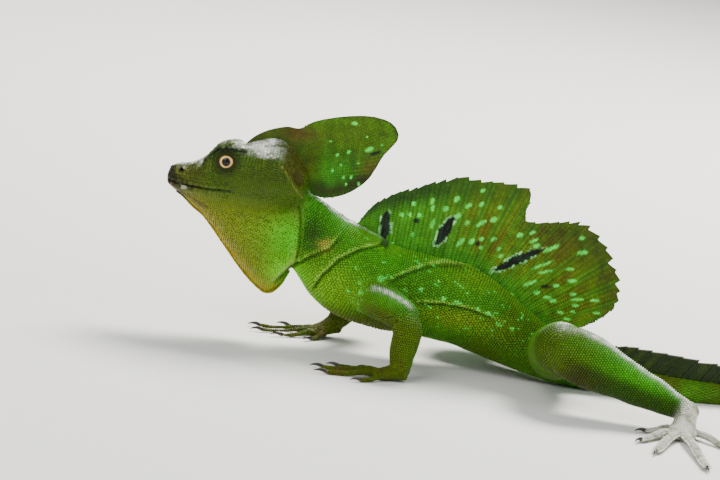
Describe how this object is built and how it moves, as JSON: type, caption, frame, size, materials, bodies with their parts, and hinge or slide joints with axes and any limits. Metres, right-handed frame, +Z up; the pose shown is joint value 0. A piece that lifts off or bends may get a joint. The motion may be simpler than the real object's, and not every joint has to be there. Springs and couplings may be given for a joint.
{
  "type": "green basilisk lizard",
  "caption": "Life-size still model of an adult male green basilisk standing with raised head, tall head crest, back sail, finned tail and long toes.",
  "frame": {"origin": "on the floor, under the middle of the whole animal's box", "axes": "+X from the head towards the tail's tip, the animal's left side towards -Y, +Z up"},
  "size_m": [0.6408, 0.2564, 0.1047],
  "materials": {
    "green_skin": "fine granular scales, satin",
    "crest_skin": "thin skin over rays, satin",
    "tail_crest_skin": "thin skin over rays, satin",
    "foot_skin": "small overlapping scales, satin",
    "claw": "dark polished horn",
    "eye": "wet and glossy"
  },
  "bodies": {
    "root": {"head": "green_skin", "throat": "green_skin", "neck": "green_skin", "torso": "green_skin", "tail_base": "green_skin", "tail_middle": "green_skin", "tail_tip": "green_skin", "upper_arm_left": "green_skin", "upper_arm_right": "green_skin", "forearm_left": "green_skin", "forearm_right": "green_skin", "thigh_left": "green_skin", "thigh_right": "green_skin", "shank_left": "green_skin", "shank_right": "green_skin", "hand_left": "foot_skin", "hand_right": "foot_skin", "foot_left": "foot_skin", "foot_right": "foot_skin", "head_crest": "crest_skin", "sail": "crest_skin", "tail_crest": "tail_crest_skin", "eye_left": "eye", "eye_right": "eye"}
  },
  "joints": []
}
